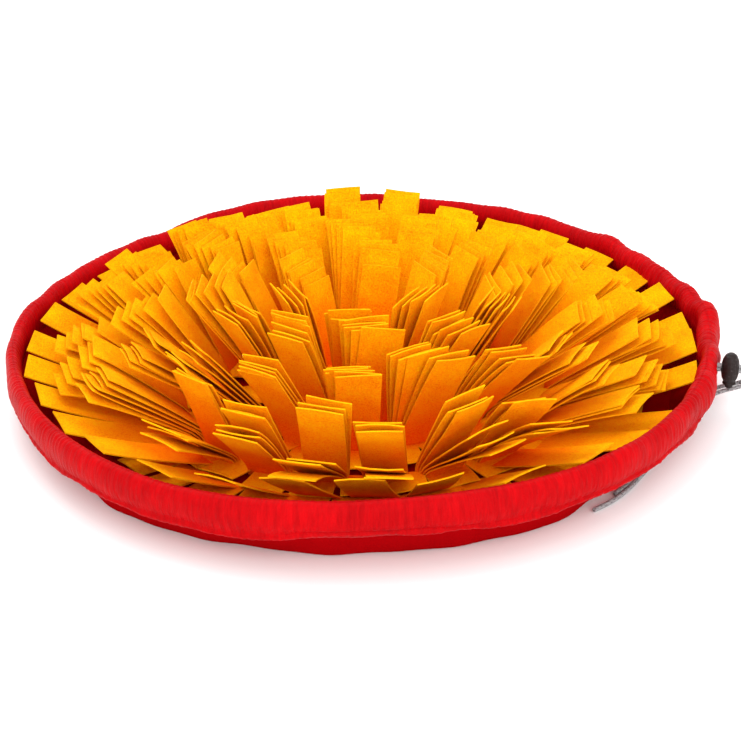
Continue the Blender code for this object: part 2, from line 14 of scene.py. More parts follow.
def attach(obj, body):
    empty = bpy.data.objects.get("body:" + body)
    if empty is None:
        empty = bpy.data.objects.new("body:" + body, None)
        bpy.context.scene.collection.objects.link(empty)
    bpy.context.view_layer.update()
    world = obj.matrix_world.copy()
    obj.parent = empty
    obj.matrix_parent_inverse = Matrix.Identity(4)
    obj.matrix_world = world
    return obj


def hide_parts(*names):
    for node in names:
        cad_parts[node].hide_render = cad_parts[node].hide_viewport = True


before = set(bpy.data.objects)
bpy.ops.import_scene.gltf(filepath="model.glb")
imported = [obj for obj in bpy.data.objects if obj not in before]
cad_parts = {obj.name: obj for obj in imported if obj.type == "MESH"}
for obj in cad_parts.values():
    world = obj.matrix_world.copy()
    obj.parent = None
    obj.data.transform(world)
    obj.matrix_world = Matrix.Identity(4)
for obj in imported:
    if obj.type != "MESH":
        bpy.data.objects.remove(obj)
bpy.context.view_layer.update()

MM = 0.001
UP = np.array([0.0, 0.0, 1.0])

# ---------------------------------------------------------------- camera: the photograph's view
CAMERA_ELEVATION = 0.4801  # in radians, as the roll is
CAMERA_DISTANCE = 1.0
CAMERA_ROLL = 0.0267
FOCAL_PIXELS = 1536.07
SHIFT_PIXELS = (7.19, 12.44)
FRAME_PIXELS = 741
SENSOR_WIDTH = 36.0


def add_camera():
    """A camera in front of the mat that looks down at it, rolled a little."""
    back = Vector((0, -math.cos(CAMERA_ELEVATION), math.sin(CAMERA_ELEVATION)))
    right = Vector((1, 0, 0))
    up = back.cross(right)
    across = right * math.cos(CAMERA_ROLL) - up * math.sin(CAMERA_ROLL)
    above = right * math.sin(CAMERA_ROLL) + up * math.cos(CAMERA_ROLL)
    data = bpy.data.cameras.new("camera")
    data.sensor_width = SENSOR_WIDTH
    data.lens = FOCAL_PIXELS / FRAME_PIXELS * SENSOR_WIDTH
    data.shift_x = SHIFT_PIXELS[0] / FRAME_PIXELS
    data.shift_y = SHIFT_PIXELS[1] / FRAME_PIXELS
    data.clip_start, data.clip_end = 0.05, 30
    camera = bpy.data.objects.new("camera", data)
    turn = Matrix((across, above, back)).transposed().to_4x4()
    camera.matrix_world = Matrix.Translation(back * CAMERA_DISTANCE) @ turn
    bpy.context.scene.collection.objects.link(camera)
    bpy.context.scene.camera = camera


# ---------------------------------------------------------------- rim and dish: sizes and tables
FELT = 2.5 * MM
FLOOR_RADIUS = 197 * MM
WALL_FOOT = (3.2 * MM, 1.4 * MM)  # where the wall starts, out from the foot and up from the floor
RIM_RADIUS = 225 * MM
RIM_CENTRE_HEIGHT = 33.5 * MM
RIM_HALF_HEIGHT = 10.8 * MM
SEAT_SHARE = (-0.33, -0.872)  # where the wall meets the rim, in the section's shares
WALL_INTO_RIM = 3.0 * MM
WALL_FOLD_POWER = 1.4
RIM_STATIONS = 2160
RIM_POINTS = 40
DISH_STATIONS = 540
WALL_POINTS = 12
FLOOR_POINTS = 9

# One row every 15 degrees from azimuth 0, in mm: how far the rim stands out of round, how far it
# rises, its half width, how far its hem is pulled up, and how far the dish's foot spreads.
RIM_TABLE = (
    (1.5, 0.0, 6.8, 0.0, 0.0),
    (-1.0, 0.0, 6.4, 0.0, 0.0),
    (-1.5, -0.5, 6.4, 0.0, 0.0),
    (-1.0, 0.0, 6.0, 0.0, 0.0),
    (0.0, 0.0, 5.8, 0.0, 0.0),
    (0.0, 0.5, 5.6, 0.0, 0.0),
    (0.8, 3.0, 5.6, 0.0, 0.0),
    (1.2, 4.5, 6.0, 0.0, 0.0),
    (0.6, 2.0, 6.0, 0.0, 0.0),
    (-1.5, -1.0, 5.8, 0.0, 0.0),
    (-1.0, -0.5, 5.8, 0.0, 0.0),
    (0.0, 0.0, 5.2, 0.0, 0.0),
    (0.6, 0.0, 4.8, 0.0, 0.0),
    (-1.5, 0.0, 5.0, 0.0, 1.0),
    (-1.5, 0.0, 5.6, 0.0, 3.0),
    (0.0, 0.0, 5.8, -0.6, 5.0),
    (1.0, -0.5, 5.8, -0.8, 3.5),
    (0.5, 0.0, 5.8, -0.4, 1.5),
    (-1.0, 0.8, 6.0, 2.4, 0.0),
    (-0.5, 0.8, 6.2, 0.4, 2.0),
    (-0.5, -0.5, 5.8, -0.4, 2.0),
    (-1.5, -1.5, 5.4, 1.0, -2.5),
    (-1.0, -0.5, 6.0, 0.4, -2.5),
    (0.5, 0.0, 6.6, 0.0, -1.0),
)

# The rim's section, as shares of its half width (outwards) and its half height (upwards).
RIM_SECTION = (
    (0.00, 1.00), (0.52, 0.90), (0.88, 0.56), (1.00, 0.10), (0.92, -0.34), (0.66, -0.68),
    (0.80, -0.82), (0.60, -1.00), (0.00, -0.98), (-0.55, -0.80), (-0.90, -0.40), (-1.00, 0.10),
    (-0.86, 0.56), (-0.50, 0.90),
)
# How much of the hem's lift and waves each of those points takes, and how much it is gathered.
HEM_WEIGHT = (0, 0, 0, 0, 0, 1, 1, 1, 0, 0, 0, 0, 0, 0)
GATHER_WEIGHT = (1, 1, .8, .6, .5, .9, 1, .8, .3, .3, .6, .9, 1, 1)
GATHER_LEAST = 0.45

# How crumpled the casing is every 15 degrees from azimuth 0, as a factor for its lumps.
CRUMPLE = (1.6, 1.2, 0.9, 0.6, 0.45, 0.3, 0.3, 0.3, 0.35, 0.5, 0.5, 0.5,
           0.4, 0.35, 0.35, 0.3, 0.3, 0.25, 0.35, 0.3, 0.4, 0.5, 0.7, 1.4)

# Sines round the ring: amplitude in mm, or in radians for the gathers' wander, whole waves to the
# turn, and phase.
LUMPS = ((1.2, 13, 0.4), (0.9, 29, 2.0))
CROSS_LUMPS = ((0.8, 21, 1.0), (0.6, 43, 0.3))
GATHER_WANDER = ((1.3, 7, 0.2), (0.9, 17, 1.1))
HEM_RUFFLE = ((0.12, 67, 0.5), (0.1, 103, 1.9), (0.1, 211, 0.1))
HEM_SAG = ((0.7, 11, 0.3), (0.5, 19, 2.2), (0.3, 37, 1.2))
FOOT_WAVES = ((0.9, 11, 0.9), (0.7, 19, 2.3), (0.4, 37, 0.5))
WALL_FOLDS = ((0.9, 9, 0.7), (0.8, 23, 2.1), (0.5, 41, 0.2), (0.3, 77, 1.4))
# Gathers: amplitude in mm, waves to the turn, how far the wander shifts them, and their turns
# round the section.
GATHER_TABLE = ((0.10, 241, 2.6, 0), (0.10, 367, -3.1, 2), (0.07, 467, 4.2, 0))

# The slit that the cord leaves by, with half its width and half its height. The rim is drawn in
# on both sides of it, over PINCH_WIDTH degrees, and is narrower by a share of that.
SLIT_AZIMUTH = 344.6
SLIT_HALF = (2.3 * MM, 3.7 * MM)
SLIT_DEPTH = 5.5 * MM
PINCH_WIDTH = 4.5
PINCH_DEPTH = 3.0 * MM
PINCH_NARROWS = 0.35
LOCK_HEIGHT = 35.0 * MM

# ---------------------------------------------------------------- felt strips: sizes and tables
STRIP_WIDTH = 25.5 * MM
PETAL_WIDTH = 26.5 * MM
STRIP_THICK = 0.8 * MM
LAYER_PITCH = 1.9 * MM
ROOT_HEIGHT = 2.2 * MM
PETAL_HEIGHT = 3.6 * MM
# A petal starts inside its root's radius by a tail, in mm, which is short where it leans up more
# than PETAL_STANDS degrees. Each mm of tail takes TAIL_DROP degrees off its lean.
PETAL_STANDS = 30
PETAL_TAIL = 24.0
STANDING_TAIL = 3.0
TAIL_DROP = 0.12
PETAL_TWIST = 0.6  # the share of its roll that a petal has at its root
# Other strips stand at UPRIGHT degrees at the root, bend to their lean within CURL_SHARE of their
# length, and take on their roll TWIST_RATE times as fast as they go along.
CURL_SHARE = 0.22
UPRIGHT = 86.0
TWIST_RATE = 1.6

# How much single strips differ: in lean, bow, sideways lean and roll in degrees, in length in mm,
# and in width as a share. The bow starts at BOW_START of the length, and BOW_SCALE brings it to
# about its full size at the tip. Cup and skew are at most this much, at the tip.
OWN_LEAN = 1.1
OWN_BOW = 8.0
BOW_START, BOW_SCALE = 0.45, 0.3
PETAL_BOW = 2.0
OWN_SIDE = 1.6
OWN_ROLL = 2.5
OWN_LENGTH = 2.2
OWN_WIDTH = 0.03
CUP, CUP_LEVEL = 1.0 * MM, 0.4
SKEW, SKEW_POWER = 0.9 * MM, 6
# How many mm shorter a stack's innermost layer is than its outermost: everywhere, how many more
# at the back, and how many give or take.
STAIR, STAIR_AT_BACK, STAIR_CHANCE = 3, 9, 4
MEAN_GAP = 1.15  # between the leans of neighbouring layers, give or take up to 1
# How far a ring's jitter shifts a bunch's azimuth in degrees and its length in mm.
AZIMUTH_JITTER = 0.2
LENGTH_JITTER = 0.5
# A strip's colour follows its rise, which grows along it and, for a share, with its height, and is
# painted shade: a deep orange low down, yellow higher up. Its tone lies between 0 and twice the
# mean.
RISE_POWER = 0.8
RISE_BY_HEIGHT = 0.25
TALLEST = 78 * MM
MEAN_TONE = 0.22
DECIMETRE = 100 * MM

# Rings of bunches: how many there are, the first one's azimuth, the roots' radius, the strips'
# length and their number in a bunch. Then in degrees: how far they lean up from level, how far
# they droop from root to tip, how far the layers open, how far they fan sideways, how far they
# roll, and how much bunches differ by chance. The last six rings are low single strips that cover
# the floor between the others.
RING_COLUMNS = ("name", "count", "first", "root", "length", "layers", "lean", "bend", "open",
                "fan", "roll", "jitter")
RING_TABLE = (
    ("petal", 32, 2, 150, 67, 1, 26, -6, 0, 0, 2, 2),
    ("outer", 24, 5, 120, 83, 6, 36, 6, 9, 6, 6, 5),
    ("middle", 18, 8, 90, 83, 6, 54, 6, 9, 6, 6, 5),
    ("inner", 12, 3, 60, 83, 6, 66, 6, 7, 6, 6, 4),
    ("heart", 6, 20, 30, 81, 5, 76, 6, 5, 6, 6, 6),
    ("skirt", 26, 4, 94, 32, 1, 9, 0, 0, 0, 3, 3),
    ("fringe", 33, 7, 124, 32, 1, 7, 0, 0, 0, 3, 3),
    ("verge", 38, 2, 148, 36, 1, 8, 0, 0, 0, 3, 3),
    ("basin", 13, 5, 57, 37, 1, 2, 0, 0, 0, 3, 2),
    ("hollow", 8, 12, 31, 31, 1, 2, 0, 0, 0, 3, 2),
    ("core", 4, 35, 13, 17, 1, 2, 0, 0, 0, 3, 2),
)
# The bunches that stand in a way of their own, in degrees: turn is how far a bunch faces
# anticlockwise of straight out, side how far it leans anticlockwise, and split how far its outer
# and inner halves fall apart. Out is how many mm further out its roots stand.
BUNCH_COLUMNS = ("turn", "lean", "open", "side", "fan", "roll", "split", "out")
BUNCH_TABLE = {
    ("petal", 14): (0, 26, 0, 0, 0, -1, 0, 0),
    ("petal", 15): (-2, 27, 0, 0, 0, -2, 0, 0),
    ("petal", 16): (-4, 27, 0, 0, 0, -3, 0, 0),
    ("petal", 17): (-5, 27, 0, 0, 0, -4, 0, 0),
    ("petal", 18): (-7, 28, 0, 0, 0, -4, 0, 0),
    ("petal", 19): (-8, 28, 0, 0, 0, -5, 0, 0),
    ("petal", 20): (-8, 29, 0, -1, 0, -5, 0, 0),
    ("petal", 21): (-5, 33, 0, -2, 0, -6, 0, 0),
    ("petal", 22): (-2, 36, 0, -6, 0, -5, 0, 0),
    ("petal", 23): (-2, 40, 0, -9, 0, -4, 0, 0),
    ("petal", 24): (-2, 40, 0, -8, 0, -3, 0, 0),
    ("petal", 25): (-1, 38, 0, -4, 0, 4, 0, 0),
    ("petal", 26): (0, 33, 0, 2, 0, 6, 0, 0),
    ("petal", 27): (1, 29, 0, 2, 0, 5, 0, 0),
    ("petal", 28): (0, 25, 0, 0, 0, 3, 0, 0),
    ("petal", 29): (-1, 22, 0, -2, 0, 2, 0, 0),
    ("petal", 30): (2, 25, 0, 6, 0, 4, 0, 0),
    ("petal", 31): (2, 27, 0, 2, 0, 4, 0, 0),
    ("outer", 0): (8, 27, 8, 5, 6, 8, 0, 0),
    ("outer", 1): (6, 28, 8, 3, 6, 4, 0, 0),
    ("outer", 2): (2, 27, 8, 0, 6, 6, 0, 0),
    ("outer", 3): (-2, 31, 8, -2, 8, 4, 0, 0),
    ("outer", 4): (4, 33, 8, 0, 8, 8, 0, 0),
    ("outer", 5): (1, 49, 6, -1, 2, 4, 0, 0),
    ("outer", 6): (-3, 60, 6, -3, 1, -1, 0, 0),
    ("outer", 7): (-3, 36, 8, 0, 8, -5, 0, 0),
    ("outer", 8): (-8, 43, 8, -5, 8, -5, 0, 0),
    ("outer", 9): (-4, 64, 10, -3, 8, -3, 0, 0),
    ("outer", 10): (-2, 50, 10, 0, 8, -3, 0, 0),
    ("outer", 11): (-4, 40, 12, -4, 8, 2, 0, 0),
    ("outer", 12): (0, 34, 14, 0, 8, 4, 0, 0),
    ("outer", 13): (-5, 34, 12, 0, 8, -5, 6, 0),
    ("outer", 14): (-5, 38, 6, -5, 4, -2, 0, 3),
    ("outer", 15): (6, 50, 6, 7, 6, -5, 22, 10),
    ("outer", 16): (4, 50, 6, 4, 6, -1, 6, 10),
    ("outer", 17): (0, 46, 5, 2, -8, -2, 22, 10),
    ("outer", 18): (-4, 39, 5, -3, 4, -4, 15, 10),
    ("outer", 19): (6, 46, 14, 1, 6, 7, 8, 8),
    ("outer", 20): (-7, 44, 6, -1, 6, -10, 8, 10),
    ("outer", 21): (4, 36, 6, 3, 6, 4, 12, 3),
    ("outer", 22): (3, 26, 8, 0, 8, 3, 0, 0),
    ("outer", 23): (2, 30, 10, 0, 8, 4, 0, 0),
    ("middle", 2): (0, 46, 8, -3, 6, 3, 0, 0),
    ("middle", 3): (-2, 50, 8, -4, 6, 1, 0, 0),
    ("middle", 4): (2, 61, 8, 0, 6, 2, 0, 0),
    ("middle", 5): (-2, 61, 8, 0, 6, -2, 0, 0),
    ("middle", 6): (0, 66, 8, 0, 6, 2, 0, 0),
    ("middle", 7): (0, 68, 8, 0, 6, 2, 0, 0),
    ("middle", 8): (-6, 54, 14, -3, 6, -4, 0, 0),
    ("middle", 9): (-8, 48, 16, -4, 6, -5, 0, 0),
    ("middle", 10): (-4, 43, 10, -2, 6, -2, 0, 0),
    ("middle", 11): (-8, 52, 8, -6, 6, -6, 0, 0),
    ("middle", 12): (-6, 60, 6, -5, 6, -4, 0, 3),
    ("middle", 13): (0, 63, 6, 1, 6, 1, 0, 3),
    ("middle", 14): (3, 66, 6, -1, 16, 2, 0, 0),
    ("middle", 15): (-3, 54, 6, 3, 6, -8, 0, 0),
    ("middle", 16): (0, 44, 10, 0, 6, 6, 0, 0),
    ("middle", 17): (5, 42, 10, 1, 6, 8, 0, 0),
    ("inner", 6): (-5, 62, 10, 2, 6, -6, 0, 0),
    ("inner", 8): (-4, 69, 6, -2, 6, -2, 0, 0),
    ("inner", 9): (1, 74, 8, 1, 6, 0, 0, 0),
}

# A strip's middle line is worked out at STRIP_FINE points, and its section stands at some of them.
STRIP_FINE = 41
STRIP_STATIONS = np.array([0, 3, 6, 10, 15, 21, 27, 33, 37, 40])
# The section's points: place across the width, which face they are on, and the end caps' quads.
LOOP_ACROSS = np.array([-1, -0.35, 0.35, 1, 1, 0.35, -0.35, -1])
LOOP_SIDE = np.array([1, 1, 1, 1, -1, -1, -1, -1])
LOOP_CAPS = np.array([(0, 1, 6, 7), (1, 2, 5, 6), (2, 3, 4, 5)])

# ---------------------------------------------------------------- drawcord: sizes and routes
CORD_DIAMETER = 2.6 * MM
CORD_SIDES = 12
CORD_STEP = 2.5 * MM
ROUTE_FINE = 24
BRAID_ROUND = 4.0  # strands round the cord each way
BRAID_ALONG = 700.0  # strands along each metre

# Route points of the two free ends: azimuth in degrees, radius and height in mm.
CORD_ROUTES = {
    "drawcord_upper": (
        (344.60, 218.0, 36.45), (344.60, 224.0, 36.45), (344.60, 230.5, 36.45),
        (344.60, 236.2, 36.45), (344.65, 240.6, 35.4), (344.75, 243.2, 32.2),
        (344.90, 243.4, 28.0), (345.10, 241.0, 24.2), (345.30, 236.4, 21.2),
        (345.50, 230.8, 18.6), (345.60, 225.0, 15.8), (345.60, 219.4, 12.4),
        (345.40, 214.4, 8.4), (344.90, 210.2, 4.8), (343.80, 206.9, 2.4), (341.60, 204.9, 1.6),
        (338.00, 203.9, 1.6), (333.00, 203.2, 1.6), (328.00, 202.9, 1.6), (323.40, 203.4, 1.6),
        (319.20, 204.9, 1.6), (315.20, 206.6, 1.6), (311.40, 207.4, 1.6), (307.60, 207.0, 1.6),
    ),
    "drawcord_lower": (
        (344.60, 218.0, 33.55), (344.60, 224.0, 33.55), (344.60, 230.5, 33.55),
        (344.60, 236.0, 33.55), (344.85, 239.4, 32.4), (345.50, 240.9, 29.2),
        (346.00, 240.0, 25.2), (346.40, 236.4, 22.0), (346.70, 231.4, 19.6),
        (346.90, 226.0, 17.2), (347.00, 220.6, 14.2), (346.90, 215.4, 10.6),
        (346.60, 210.8, 6.8), (346.00, 206.8, 3.8), (344.90, 203.8, 2.0), (342.60, 201.9, 1.6),
        (338.80, 200.9, 1.6), (334.00, 200.2, 1.6), (329.00, 199.9, 1.6), (324.40, 200.2, 1.6),
        (320.60, 201.6, 1.6), (317.00, 203.2, 1.6), (313.60, 203.8, 1.6),
    ),
}

# ---------------------------------------------------------------- colours, light and floor
# The strips' deep orange is painted shade, for low down between the strips; FELT_TIP is the yellow
# at the tips.
FELT_PAINTED_SHADE = (0.99, 0.10, 0.0003, 1)
FELT_TIP = (0.98, 0.385, 0.001, 1)
FELT_PALE = (0.98, 0.43, 0.001, 1)
FELT_CUT = (0.97, 0.46, 0.006, 1)
BASE_RED = (0.34, 0.0008, 0.0025)
CASING_RED = (0.46, 0.001, 0.003)
CORD_GREY = (0.50, 0.49, 0.50)
CORD_FLECK = (0.03, 0.025, 0.025, 1)
PLASTIC_DARK = (0.014, 0.007, 0.006, 1)
PLASTIC_SPECK = (0.10, 0.085, 0.09, 1)
FLOOR_PALE = (0.96, 0.96, 0.96)

FLOOR_HALF = 6.0
FLOOR_DROP = 0.2 * MM
WORLD_STRENGTH = 1.32
# Soft lights: name, place, width and watts.
LIGHTS = (
    ("overhead", (-0.35, 0.35, 1.6), 1.1, 9),
    ("front", (0.3, -1.6, 1.0), 1.3, 15),
)


# ---------------------------------------------------------------- shader node helpers
def put(tree, kind, inputs=(), **attributes):
    """Add a shader node: inputs maps its sockets to values or to other nodes' sockets."""
    made = tree.nodes.new(kind)
    for name, value in attributes.items():
        setattr(made, name, value)
    for name, value in dict(inputs).items():
        if isinstance(value, bpy.types.NodeSocket):
            tree.links.new(value, made.inputs[name])
        else:
            made.inputs[name].default_value = value
    return made


def maths(tree, operation, first, second=0.0):
    """The output of a Math node."""
    return put(tree, "ShaderNodeMath", {0: first, 1: second}, operation=operation).outputs[0]


def weighted(tree, *terms):
    """The sum of two values times their weights."""
    parts = [maths(tree, "MULTIPLY", value, weight) for value, weight in terms]
    return maths(tree, "ADD", *parts)


def blend_colour(tree, factor, first, second):
    """The output of a colour Mix node, whose sockets 6 and 7 are its colours."""
    return put(tree, "ShaderNodeMix", {0: factor, 6: first, 7: second},
               data_type="RGBA").outputs[2]


def ramp(tree, factor, low, high, bottom=0.0, top=1.0):
    """The output of a smooth Map Range node from low..high to bottom..top."""
    return put(tree, "ShaderNodeMapRange", {"Value": factor, "From Min": low, "From Max": high,
                                            "To Min": bottom, "To Max": top},
               interpolation_type="SMOOTHSTEP").outputs["Result"]


def noise(tree, vector, scale, detail=3.0, roughness=0.55):
    """The grey output of a Noise node, whose scale counts cells to the vector's unit."""
    return put(tree, "ShaderNodeTexNoise", {"Vector": vector, "Scale": scale, "Detail": detail,
                                            "Roughness": roughness}).outputs["Fac"]


def shaded(tree, colour, shade):
    """A colour or vector times another, or times a grey shade."""
    return put(tree, "ShaderNodeVectorMath", {0: colour, 1: shade}, operation="MULTIPLY").outputs[0]


def new_group(name, sockets_in, sockets_out):
    """A shader node group, its input node and its output node."""
    tree = bpy.data.node_groups.new(name, "ShaderNodeTree")
    for side, sockets in (("INPUT", sockets_in), ("OUTPUT", sockets_out)):
        for label, kind in sockets.items():
            tree.interface.new_socket(label, in_out=side, socket_type="NodeSocket" + kind)
    return tree, put(tree, "NodeGroupInput"), put(tree, "NodeGroupOutput")


def object_place(tree):
    """The output that gives a point's place in its object's own coordinates, in metres."""
    return put(tree, "ShaderNodeTexCoord").outputs["Object"]


def own_uv(tree):
    """The output that gives a point's place in its piece's own UV map."""
    return put(tree, "ShaderNodeUVMap", uv_map="UVMap").outputs["UV"]


def make_nap_group():
    """Needled felt: the height of its fibres, and a mottled shade about 1."""
    tree, given, out = new_group(
        "felt nap", {"Vector": "Vector", "Fibre Scale": "Float", "Mottle": "Float"},
        {"Shade": "Float", "Height": "Float"})
    where = given.outputs["Vector"]
    warp = put(tree, "ShaderNodeTexNoise", {"Vector": where, "Scale": 260.0, "Detail": 2.0})
    bent = shaded(tree, warp.outputs["Color"], (0.004, 0.004, 0.004))
    place = put(tree, "ShaderNodeVectorMath", {0: where, 1: bent}, operation="ADD")
    fibre = noise(tree, place.outputs[0], given.outputs["Fibre Scale"], 4.0, 0.7)
    clump = noise(tree, where, 900.0, 3.0, 0.65)
    cloud = noise(tree, where, 55.0, 2.0, 0.5)
    height = weighted(tree, (fibre, 0.5), (clump, 0.5))
    mixed = weighted(tree, (height, 0.8), (cloud, 0.2))
    offset = maths(tree, "SUBTRACT", mixed, 0.5)
    shade = maths(tree, "ADD", maths(tree, "MULTIPLY", offset, given.outputs["Mottle"]), 1.0)
    tree.links.new(shade, out.inputs["Shade"])
    tree.links.new(height, out.inputs["Height"])
    return tree


def make_gather_group():
    """A gathered casing: coarse and fine streaks that run across the rim, from its own UV map, as
    bump heights and as painted shade and highlight.
    """
    tree, given, out = new_group("gathers", {"Vector": "Vector"},
                                 {"Shade": "Float", "Height": "Float"})
    heights = []
    for along, across in ((520.0, 4.0), (1400.0, 9.0)):
        stretched = shaded(tree, given.outputs["Vector"], (along, across, 1.0))
        heights.append(noise(tree, stretched, 1.0))
    height = weighted(tree, (heights[0], 0.65), (heights[1], 0.35))
    # Painted shade and highlight: darker where the streaks sink, lighter where they rise.
    tree.links.new(ramp(tree, height, 0.3, 0.7, 0.80, 1.12), out.inputs["Shade"])
    tree.links.new(height, out.inputs["Height"])
    return tree


def new_material(name, **constants):
    """A material with its shader's own sockets set, its tree and its shader."""
    material = bpy.data.materials.new(name)
    material.use_nodes = True
    tree = material.node_tree
    shader = tree.nodes["Principled BSDF"]
    for label, value in constants.items():
        shader.inputs[label.replace("_", " ")].default_value = value
    return material, tree, shader


def bump(tree, shader, height, distance, strength=1.0):
    """Feed a height, whose 1 stands for distance in metres, to the shader's normal."""
    made = put(tree, "ShaderNodeBump",
               {"Height": height, "Distance": distance, "Strength": strength})
    tree.links.new(made.outputs["Normal"], shader.inputs["Normal"])


NAP = make_nap_group()
GATHERS = make_gather_group()


def felt_nap(tree, scale, mottle):
    """The felt nap's group, placed in a material."""
    return put(tree, "ShaderNodeGroup", {"Vector": object_place(tree), "Fibre Scale": scale,
                                         "Mottle": mottle}, node_tree=NAP)


def make_strip_felt():
    """Yellow felt: orange low down and yellow at the tips, as painted shade, with paler, fuzzy cut
    edges.

    The strip's UV map holds the place across it, 0 to 1, and the distance from its tip in dm. Its
    attributes are its rise, 0 at the root and up to 1 at the tip, and a tone that differs between
    strips.
    The nap's shade acts mostly on the green channel, so thin places turn a deeper orange.
    """
    material, tree, shader = new_material(
        "strip felt", Roughness=0.96, Specular_IOR_Level=0.02, Sheen_Weight=0.10,
        Sheen_Roughness=0.5, Sheen_Tint=(1.0, 0.35, 0.02, 1.0))
    nap = felt_nap(tree, 1500.0, 4.2)
    rise = put(tree, "ShaderNodeAttribute", attribute_name="rise").outputs["Fac"]
    tone = put(tree, "ShaderNodeAttribute", attribute_name="tone").outputs["Fac"]
    # Painted shade: deep orange low on the strips and low in the mat, yellow towards the tips.
    body = blend_colour(tree, ramp(tree, rise, 0.10, 0.95), FELT_PAINTED_SHADE, FELT_TIP)
    toned = blend_colour(tree, tone, body, FELT_PALE)
    paler = maths(tree, "ADD", maths(tree, "MULTIPLY", nap.outputs["Shade"], 0.25), 0.75)
    tint = put(tree, "ShaderNodeCombineXYZ", {"X": maths(tree, "MINIMUM", paler, 1.0),
                                              "Y": nap.outputs["Shade"], "Z": 1.0})
    cloth = shaded(tree, toned, tint.outputs["Vector"])
    split = put(tree, "ShaderNodeSeparateXYZ", {0: own_uv(tree)})
    fuzz = maths(tree, "MULTIPLY", maths(tree, "SUBTRACT", nap.outputs["Height"], 0.5), 0.012)
    off_middle = maths(tree, "ABSOLUTE", maths(tree, "SUBTRACT", split.outputs["X"], 0.5))
    side = maths(tree, "SUBTRACT", 0.5, off_middle)
    from_side = maths(tree, "MULTIPLY", side, STRIP_WIDTH / DECIMETRE)
    near = maths(tree, "MINIMUM", from_side, split.outputs["Y"])
    edge = ramp(tree, maths(tree, "ADD", near, fuzz), 0.0015, 0.0055, 1.0, 0.0)
    tree.links.new(blend_colour(tree, maths(tree, "MULTIPLY", edge, 0.4), cloth, FELT_CUT),
                   shader.inputs["Base Color"])
    bump(tree, shader, nap.outputs["Height"], 0.0012, 0.9)
    return material


def make_red_felt():
    """Dark red needled felt."""
    material, tree, shader = new_material(
        "base felt", Roughness=0.96, Specular_IOR_Level=0.0, Sheen_Weight=0.03,
        Sheen_Roughness=0.5, Sheen_Tint=(1.0, 0.06, 0.05, 1.0))
    nap = felt_nap(tree, 1400.0, 1.0)
    tree.links.new(shaded(tree, BASE_RED, nap.outputs["Shade"]), shader.inputs["Base Color"])
    bump(tree, shader, nap.outputs["Height"], 0.0007, 0.8)
    return material


def make_casing_cloth():
    """Smooth red polyester with a soft sheen, drawn into fine gathers that run across the rim, with
    the gathers' painted shade and highlight in its colour.
    """
    material, tree, shader = new_material("casing cloth", Roughness=0.42, Specular_IOR_Level=0.035)
    where = object_place(tree)
    gathers = put(tree, "ShaderNodeGroup", {"Vector": own_uv(tree)}, node_tree=GATHERS)
    weave = noise(tree, where, 2600.0, 2.0, 0.6)
    cloud = ramp(tree, noise(tree, where, 38.0, 2.0, 0.5), 0.3, 0.7, 0.9, 1.06)
    # The gathers' shade is painted shade and highlight: darker in the creases, lighter on the
    # crests.
    shade = maths(tree, "MULTIPLY", gathers.outputs["Shade"], cloud)
    fine = ramp(tree, weave, 0.3, 0.7, 0.94, 1.05)
    tree.links.new(shaded(tree, CASING_RED, maths(tree, "MULTIPLY", shade, fine)),
                   shader.inputs["Base Color"])
    height = maths(tree, "ADD", gathers.outputs["Height"], maths(tree, "MULTIPLY", weave, 0.12))
    bump(tree, shader, height, 0.0016, 0.75)
    return material


def make_cord_braid():
    """A fine grey braid with dark flecks, from the cord's own UV map."""
    material, tree, shader = new_material("cord braid", Roughness=0.62, Specular_IOR_Level=0.3)
    split = put(tree, "ShaderNodeSeparateXYZ", {0: own_uv(tree)})
    strands = []
    for around in (BRAID_ROUND, -BRAID_ROUND):
        turned = weighted(tree, (split.outputs["X"], around), (split.outputs["Y"], BRAID_ALONG))
        strands.append(maths(tree, "SINE", maths(tree, "MULTIPLY", turned, math.tau)))
    braid = maths(tree, "MULTIPLY", *strands)
    fleck = ramp(tree, noise(tree, object_place(tree), 900.0, 2.0, 0.6), 0.52, 0.60)
    shade = ramp(tree, braid, -1.0, 1.0, 0.55, 1.0)
    pale = shaded(tree, CORD_GREY, shade)
    tree.links.new(blend_colour(tree, maths(tree, "MULTIPLY", fleck, 0.75), pale, CORD_FLECK),
                   shader.inputs["Base Color"])
    bump(tree, shader, braid, 0.00018)
    return material


def make_lock_plastic():
    """Dark moulded plastic, satin, with a faint grey speckle."""
    material, tree, shader = new_material("lock plastic", Specular_IOR_Level=0.22)
    where = object_place(tree)
    speck = ramp(tree, noise(tree, where, 700.0, 3.0, 0.7), 0.56, 0.68)
    cloud = ramp(tree, noise(tree, where, 160.0, 2.0, 0.5), 0.3, 0.7, 0.36, 0.55)
    tree.links.new(blend_colour(tree, maths(tree, "MULTIPLY", speck, 0.3), PLASTIC_DARK,
                                PLASTIC_SPECK), shader.inputs["Base Color"])
    tree.links.new(cloud, shader.inputs["Roughness"])
    bump(tree, shader, noise(tree, where, 1800.0, 2.0, 0.5), 0.0001)
    return material


def make_floor_paint():
    """A plain pale floor."""
    material, tree, shader = new_material("pale floor", Roughness=0.9, Specular_IOR_Level=0.1)
    grain = ramp(tree, noise(tree, object_place(tree), 3.0, 1.0, 0.5), 0.3, 0.7, 0.99, 1.0)
    tree.links.new(shaded(tree, FLOOR_PALE, grain), shader.inputs["Base Color"])
    return material


# ---------------------------------------------------------------- shape helpers
def heading(azimuth):
    """The level unit vectors that point along azimuths."""
    angle = np.radians(azimuth)
    return np.stack([np.cos(angle), np.sin(angle), np.zeros_like(angle)], axis=-1)


def at(azimuth, radius, height):
    """The points at azimuths, radii and heights."""
    return heading(azimuth) * np.asarray(radius)[..., None] + UP * np.asarray(height)[..., None]


